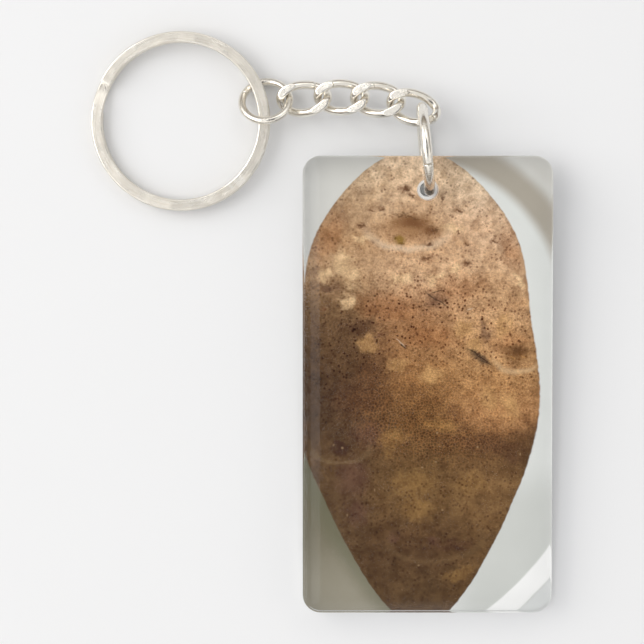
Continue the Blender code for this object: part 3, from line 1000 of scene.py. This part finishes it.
AREAS = (
    # strength and colour, and then the spots of each: dark, rust, bruised purple, and olive
    (0.70, (74, 50, 34), (
        (8.2, -8.4, 6.4, 1.3, -8), (11.9, -10.2, 1.8, 1.5), (-9.3, 8.0, 2.6, 1.2), (-7.4, 1.5, 3.2, 2.6, 30),
        (3.8, -22.4, 3.4, 0.9, 8), (-9.5, -2.0, 4.5, 3.0),
    )),
    (0.45, (140, 92, 56), (
        (4.5, 13.2, 4.5, 2.0, 14), (-5.5, 10.6, 5.5, 2.2, -6), (0.5, 6.6, 4.5, 2.0, -8),
        (-13.5, 20.5, 2.0, 4.5, -24), (11.5, 5.6, 3.0, 1.8), (11.6, 18.6, 1.6, 3.2, 20),
    )),
    (0.62, (84, 58, 48), (
        (1.3, 11.7, 2.0, 1.3, -15), (7.8, 7.5, 1.0, 1.8, 10), (-8.0, -7.1, 2.8, 2.2),
        (-10.2, -13.1, 2.6, 3.2), (-9.8, -17.7, 1.8, 2.2), (-4.7, -21.3, 1.1, 0.8), (0.9, -21.8, 0.8, 0.7),
        (-13.9, 13.3, 2.3, 0.7),
    )),
    (0.45, (136, 104, 62), (
        (-1.9, -13.8, 3.2, 2.0), (-1.5, -17.3, 3.0, 2.0), (6.4, -13.8, 2.4, 1.5), (2.0, -5.8, 2.4, 1.0),
        (-5.0, -8.0, 2.0, 2.4), (4.5, -26.5, 2.4, 1.2, 20),
    )),
)
CREAM_PATCHES = (
    (-11.7, 16.8, 1.7, 2.0), (-10.3, 14.7, 1.4, 1.5), (-10.9, 11.3, 1.1, 1.2), (3.8, 15.8, 0.9, 0.8),
    (1.3, 14.7, 1.7, 0.7, 12), (12.7, 14.2, 0.5, 1.8, 18), (3.1, 21.6, 2.2, 0.9, -10),
    (-9.2, 20.1, 1.7, 0.7, -5), (9.5, 28.2, 3.0, 0.9, -38), (-3.5, 14.6, 2.0, 0.9, 20),
    (-14.3, 15.0, 0.9, 1.4),
)
TAN_PATCHES = (
    (5.1, 7.8, 1.5, 1.6, -30), (10.5, 8.2, 1.3, 1.8), (-8.1, 5.5, 1.3, 1.3), (-4.2, 2.7, 1.7, 1.0, 10),
    (8.6, -2.0, 1.3, 2.0), (6.5, 5.4, 1.2, 1.0), (0.6, 1.2, 2.0, 1.4), (11.5, -3.0, 1.4, 2.4, 10),
)
for strength, colour, marks in AREAS:
    skin = dab(spots(marks), strength, skin, colour)
cream = spots(CREAM_PATCHES, 0.15)
tan = spots(TAN_PATCHES)
skin = dab(cream, 0.70, skin, (206, 176, 138))
skin = dab(tan, 0.65, skin, (176, 138, 92))
print("patches painted")

# %% [markdown]
# ## The russet netting
# Russet cork splits into a fine net as the potato grows. Close by it reads as dark dots with lighter
# threads between them, about half a millimetre apart. The net is strong round the middle, thin in the
# cream patches, and blurred into the dark at the lower end, so one mask says how much of it shows where.

# %% Netting over the skin
net = sheet.effect(russet_netting, Place=place, Mesh=0.62)
fine_net = sheet.effect(russet_netting, Place=shifted, Mesh=0.40)
belt = spots([(0.0, 2.0, 19.0, 15.5, 0)], 0.6)
patchy = sheet.effect(blotches, Place=shifted, Size=4.2, Cover=0.55, Soft=0.12)["Mask"]
bare = sheet.rest(sheet.times(sheet.math("MAXIMUM", cream, tan), 0.7))
upper = sheet.line(patchy, 0.50, 0.12)
shown = sheet.times(sheet.math("MAXIMUM", belt, upper), bare)
fibrous = spots([(3.0, -3.5, 15.0, 9.0, 0)], 0.45)
dotted = sheet.times(shown, sheet.line(fibrous, -0.45, 1.0))
skin = dab(sheet.times(net["Dots"], dotted), 1.0, skin, (116, 70, 46), "MULTIPLY")
skin = dab(sheet.times(fine_net["Dots"], dotted), 0.40, skin, (160, 120, 92), "MULTIPLY")
threaded = sheet.times(fibrous, shown)
skin = dab(sheet.times(fine_net["Threads"], threaded), 0.75, skin, (112, 74, 38), "SCREEN")
grain = sheet.blend(sheet.fade(net["Grain"], 0.3, 0.7), (0.74, 0.71, 0.68), (1.28, 1.27, 1.26))
skin = sheet.blend(sheet.line(belt, 0.55, 0.40), skin, grain, "MULTIPLY")
broad = sheet.noise(place, 0.62, 5.0, 0.66)
broad = sheet.blend(sheet.fade(broad, 0.3, 0.7), (1.02, 0.96, 0.88), (1.72, 1.76, 1.72))
skin = sheet.blend(1.0, skin, broad, "MULTIPLY")
print("netting painted")

# %% [markdown]
# ## Eyes, scars and flecks
# A potato's eye is a shallow hollow with a bud in it. In a picture lit from above it shows as a dark spot
# with a pale crescent under it, where the skin turns back to the light. Scars are thin dark lines with a
# ragged edge. None of these repeats, so each is placed one by one.

# %% Eyes and scars
UMBER = (84, 54, 30)
INK = (44, 30, 22)
PALE = (240, 216, 186)
EYES_AND_SCARS = (
    # strength, colour, brush, and what it draws: marks, and where they are not the usual, core and place
    # the large eye at the top
    (0.48, PALE, crescent, -2.8, 21.2, 5.4, 2.7, -3, 0.8),
    (0.80, (158, 116, 76), spots, [(-2.4, 21.9, 4.2, 2.1, -6)], 0.3, calm),
    (0.90, (120, 78, 46), spots, [(-2.0, 22.3, 3.0, 1.1, -8), (0.4, 21.3, 1.8, 0.9, -10)], 0.1, calm),
    (0.60, UMBER, spots, [(-3.4, 23.6, 1.2, 0.16), (-2.2, 23.1, 1.5, 0.14, -6), (1.0, 21.6, 1.0, 0.14, -12)]),
    (0.85, (142, 110, 40), spots, [(-3.8, 19.9, 1.0, 0.8)], 0.2, calm),
    (0.70, (104, 74, 22), spots, [(-3.7, 19.45, 0.5, 0.2), (-4.4, 20.2, 0.2, 0.2)], 0.3, calm),
    # the eye at the right side
    (0.62, (230, 194, 148), crescent, 12.3, 3.5, 3.0, 2.0, 0, 0.6),
    (0.85, (116, 76, 38), spots, [(12.5, 4.3, 2.7, 1.6)], 0.1, torn),
    (0.70, UMBER, spots, [(12.4, 4.8, 1.7, 0.9)], 0.1, torn),
    (0.60, (200, 146, 84), spots, [(11.9, 3.5, 0.4, 0.3), (13.4, 3.9, 0.3, 0.2)]),
    # the dark scar, and the scratches on it, above it and beside it
    (0.80, (70, 52, 40), spots, [(7.2, 3.7, 2.2, 0.75, -32)], 0.3, torn),
    (0.80, INK, spots,
     [(6.6, 4.4, 1.5, 0.13, -26), (7.6, 3.6, 1.6, 0.11, -36), (8.2, 2.9, 1.0, 0.10, -30)], 0.3, calm),
    (0.65, INK, spots,
     [(0.8, 12.0, 1.5, 0.12, -36), (2.0, 11.2, 1.4, 0.11, -32), (1.4, 12.8, 1.0, 0.10, 12)], 0.3, calm),
    (0.55, PALE, spots, [(-3.6, 5.8, 0.9, 0.10, -42), (6.0, 10.4, 0.5, 0.10, 20)], 0.3, calm),
    (0.70, INK, spots, [(-3.2, 5.3, 0.8, 0.12, -42)], 0.3, calm),
    # the eye in the left flank, and the one low down
    (0.50, (150, 126, 92), crescent, -12.0, -8.8, 3.9, 2.1, 0, 0.30),
    (0.60, (62, 36, 32), spots, [(-11.9, -9.0, 1.5, 0.9, 8)], 0.4),
    (0.40, (150, 122, 84), crescent, 1.2, -21.6, 6.2, 2.9, 5, 0.24),
    (0.75, (54, 32, 26), spots, [(4.3, -22.8, 0.9, 0.26, -14), (-0.2, -23.0, 0.5, 0.2, 20)], 0.3, torn),
)
for strength, colour, brush, *drawn in EYES_AND_SCARS:
    skin = dab(brush(*drawn), strength, skin, colour)
print("eyes and scars painted")

# %% Scabs and flecks
SCABS = (
    (-3.0, 27.0, 1.1, 0.8, 30), (-2.2, 26.1, 1.0, 0.4, -35), (2.1, 25.7, 0.3, 0.9, -8),
    (4.4, 24.0, 0.7, 0.5, -20), (-7.8, 24.1, 0.5, 0.4, 0), (-6.3, 24.2, 0.6, 0.35, 10),
    (-9.2, 21.9, 0.9, 0.5, -10), (0.2, 19.4, 0.9, 0.4, 0), (5.4, 19.3, 0.5, 0.4, 0),
    (-0.2, 17.4, 1.2, 0.5, 15), (5.4, 16.7, 0.8, 0.5, -15), (9.1, 19.8, 0.6, 0.5, 0),
    (-14.2, 10.3, 0.5, 0.4, 0), (8.2, -1.9, 0.35, 0.4, 0), (-6.6, 6.9, 0.5, 0.4, 0), (4.2, 21.0, 0.4, 0.3, 0),
)
CRUST_SHARE = 0.55
crusts = [
    (across + 0.1, up - 0.05, wide * CRUST_SHARE, tall * CRUST_SHARE, turn)
    for across, up, wide, tall, turn in SCABS
]
skin = dab(spots(SCABS, 0.2, torn), 0.75, skin, (128, 88, 60))
skin = dab(spots(crusts, 0.0, torn), 0.85, skin, (92, 58, 36))

FLECKS = (
    (-1.1, -25.1, 0.17, 0.17), (-3.5, -28.6, 0.14, 0.14), (1.4, -6.8, 0.16, 0.2), (6.9, -8.7, 0.18, 0.14),
    (1.2, -10.8, 0.2, 0.12), (-0.5, -11.6, 0.14, 0.14), (13.0, -9.8, 0.12, 0.2), (-13.0, -8.6, 0.17, 0.17),
    (-11.7, -8.9, 0.18, 0.18), (-11.0, -18.2, 0.12, 0.2), (-7.3, -14.7, 0.1, 0.3), (2.2, -17.5, 0.2, 0.12),
)
skin = dab(spots(FLECKS, 0.3, calm), 0.50, skin, (190, 158, 118))
peppered = sheet.fade(sheet.cells(place, 1.1), 0.075, 0.03)
skin = dab(sheet.times(peppered, patchy), 0.28, skin, (188, 156, 118))
hairs = sheet.effect(hair_scratches, Place=place, Scale=1.0, Amount=1.4)["Scratches"]
skin = dab(hairs, 0.22, skin, UMBER)
turning = sheet.times(sheet.fade(inside, 0.9, 0.0), 0.22)
skin = dab(turning, 1.0, skin, (96, 74, 54))
print("scabs and flecks painted")

# %% [markdown]
# ## The plate behind it
# Only parts of the plate show: a pale well at the upper left, the curve of its rim at the right, and the
# shaded side under the potato at the lower left. Rings are easy to paint, because they depend only on the
# distance from the plate's centre.

# %% Plate tones
def ring(across, up, radius, inner_soft, outer_soft, width):
    """A soft circular band, with its own softness inwards and outwards."""
    away = sheet.vector("SUBTRACT", sheet.scaled(place, (1, 1, 0)), (across, up, 0.0))
    off = sheet.math("SUBTRACT", sheet.vector("LENGTH", away), radius)
    inwards = sheet.fade(off, -width / 2 - inner_soft, -width / 2)
    return sheet.times(inwards, sheet.fade(off, width / 2 + outer_soft, width / 2))


plate = sheet.blend(sheet.fade(x, -6.0, 6.0), paint(207, 206, 200), paint(216, 218, 214))
shade_low = sheet.fade(y, 14.0, -16.0)
left_side = sheet.fade(x, 2.0, -6.0)
low_left = sheet.times(shade_low, left_side)
plate = dab(low_left, 1.0, plate, (118, 112, 92))
lighter_foot = sheet.times(sheet.fade(y, -19.0, -30.0), left_side)
plate = dab(lighter_foot, 0.80, plate, (156, 150, 134))
under_edge = sheet.times(sheet.fade(inside, -3.4, 0.0), low_left)
plate = dab(under_edge, 0.55, plate, (98, 98, 76))
corner = sheet.times(sheet.fade(x, -1.0, 3.0), sheet.fade(y, 10.0, 19.0))
rim_shade = sheet.times(ring(-1.3, 11.4, 21.0, 1.8, 2.6, 1.6), corner)
plate = dab(rim_shade, 0.95, plate, (166, 158, 144))
rim_top = sheet.times(ring(-1.3, 11.4, 25.2, 1.8, 6.0, 1.6), corner)
plate = dab(rim_top, 0.80, plate, (202, 199, 191))
right_foot = sheet.times(sheet.fade(y, -10.0, -17.0), sheet.fade(x, 2.0, 8.0))
plate = dab(right_foot, 0.85, plate, (197, 199, 194))
plate = dab(ring(-9.0, -6.0, 31.9, 0.35, 0.45, 2.3), sheet.fade(y, -14.0, -21.0), plate, (242, 242, 240))
plate = dab(ring(-9.0, -6.0, 37.5, 0.6, 4.0, 7.6), sheet.fade(y, -14.0, -22.0), plate, (214, 216, 214))
# Painted shade along the tag's top edge at the left: the plate darkens there.
plate = dab(sheet.times(sheet.fade(y, 27.0, 31.0), left_side), 0.35, plate, (176, 174, 166))
glaze = sheet.blend(sheet.noise(place, 0.35, 3.0), (1.11, 1.11, 1.105), (1.18, 1.18, 1.18))
plate = sheet.blend(1.0, plate, glaze, "MULTIPLY")
print("plate painted")

# %% [markdown]
# ## Printing it
# The potato is laid over the plate by its outline. Printed ink is matt, and the film under it is smooth, so
# the picture needs only a little tooth in its roughness and height.

# %% Picture put together and fitted
sheet.feed(shader["Base Color"], sheet.blend(potato, plate, skin))
tooth = sheet.noise(place, 9.0, 2.0)
sheet.feed(shader["Roughness"], sheet.line(tooth, 0.1, 0.5))
shader["Specular IOR Level"].default_value = 0.08
sheet.relief(shader, 0.1, 0.004, tooth)

printed = layer("printed_picture", print_outline, print_hole)
fit(printed, "tag", "picture_print", picture)

# %% [markdown]
# ## The table it lies on
# A plain pale floor, far larger than the object. A very faint mottle keeps it from looking computed.

# %% Floor
FLOOR_HALF = 3.0
floor_paper, sheet, shader = new_finish("pale floor")
faint = sheet.noise(sheet.node("ShaderNodeTexCoord").outputs["Object"], 60.0, 4.0)
sheet.feed(shader["Base Color"], sheet.blend(faint, (0.862, 0.862, 0.862), (0.872, 0.872, 0.872)))
shader["Roughness"].default_value = 0.8
shader["Specular IOR Level"].default_value = 0.15
shape = bmesh.new()
bmesh.ops.create_grid(shape, x_segments=1, y_segments=1, size=FLOOR_HALF)
mesh = bpy.data.meshes.new("floor")
shape.to_mesh(mesh)
shape.free()
mesh.materials.append(floor_paper)
floor = add_object("floor", mesh)
floor.location.z = cad_box[0].z
floor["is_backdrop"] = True
print("floor at", round(floor.location.z / MM, 3), "mm")

# %% [markdown]
# ## Light
# Metal shows what stands round it, so the lights are placed for the metal first. A big key from the upper
# left gives the soft shadows to the right. A dim panel overhead on the left lies in the flat wire and
# draws the pale band along the tag's crowned edge. The space right above the tag stays unlit, or the
# acrylic would mirror it over the picture. The sky does the rest: it is even for matt surfaces, and for
# mirrors it darkens towards the horizon, which gives the wires their dark edges.

# %% Panels
def panel(title, place, wide, tall, radiance, colour=(1.0, 1.0, 1.0)):
    """A square-cornered soft light of a chosen radiance, aimed at the object."""
    lamp = bpy.data.lights.new(title, "AREA")
    lamp.shape = "RECTANGLE"
    lamp.size = wide
    lamp.size_y = tall
    lamp.energy = radiance * math.pi * wide * tall
    lamp.color = colour
    holder = add_object(title, lamp)
    holder.location = place
    holder.rotation_mode = "QUATERNION"
    holder.rotation_quaternion = (-Vector(place)).to_track_quat("-Z", "Y")
    holder.visible_camera = False
    print(f"{title}: {lamp.energy:.2f} W")


panel("key", (-0.79, 0.27, 0.64), 0.90, 0.86, 2.0, (1.0, 0.99, 0.98))
panel("overhead_near", (-0.18, -0.02, 0.95), 0.9, 0.19, 0.85, (1.0, 0.99, 0.98))
panel("overhead_far", (-0.52, -0.02, 0.95), 0.9, 0.30, 2.1, (1.0, 0.99, 0.97))
panel("back_top", (0.25, 0.62, 0.8), 0.7, 0.4, 0.8)
panel("front_low", (-0.15, -0.75, 0.62), 0.8, 0.4, 0.35)
panel("right_fill", (0.95, -0.2, 0.45), 0.5, 0.8, 0.5)

# %% Sky
sky = bpy.data.worlds.new("pale studio")
sky.use_nodes = True
bpy.context.scene.world = sky
sheet = Sheet(sky.node_tree)
background = sky.node_tree.nodes["Background"].inputs
up = sheet.split(sheet.node("ShaderNodeTexCoord").outputs["Generated"])[2]
SKY_BANDS = [
    # height of the direction looked in, and the colour a mirror finds there
    (0.0, (0.10, 0.07, 0.05)), (0.22, (0.34, 0.30, 0.25)), (0.55, (0.78, 0.76, 0.73)),
    (0.87, (0.88, 0.87, 0.85)), (0.95, (0.10, 0.10, 0.10)), (1.0, (0.03, 0.03, 0.03)),
]
mirrored = sheet.ramp(up, SKY_BANDS, "EASE")
paths = sheet.node("ShaderNodeLightPath").outputs
seen = sheet.math("MAXIMUM", paths["Is Glossy Ray"], paths["Is Transmission Ray"])
tone = sheet.blend(seen, (0.56, 0.56, 0.565), mirrored)
tone = sheet.blend(paths["Is Camera Ray"], tone, (0.86, 0.86, 0.86))
sheet.feed(background["Color"], tone)
print("sky ready")

# %% [markdown]
# ## Camera
# The keychain is seen from straight above, from half a metre, with a long lens that keeps the shapes flat.

# %% Camera
VIEW_HEIGHT = 0.5
SENSOR_WIDTH = 36.0
FOCAL_LENGTH = 200.4
lens = bpy.data.cameras.new("camera")
lens.sensor_width = SENSOR_WIDTH
lens.lens = FOCAL_LENGTH
lens.clip_start = 0.01
camera = add_object("camera", lens)
camera.location = (0.0, 0.0, VIEW_HEIGHT)
bpy.context.scene.camera = camera
bpy.context.scene.view_settings.view_transform = "Standard"

# %% [markdown]
# ## The CAD box and the visual box are set side by side, and the visual one is printed.
# The visual model may not outgrow the CAD model, so both boxes are written down side by side.

# %% The two boxes side by side
sizes = {"cad": [list(corner) for corner in cad_box], "visual": [list(corner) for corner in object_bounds()]}
print("visual box in mm:", [[round(x / MM, 2) for x in corner] for corner in sizes["visual"]])
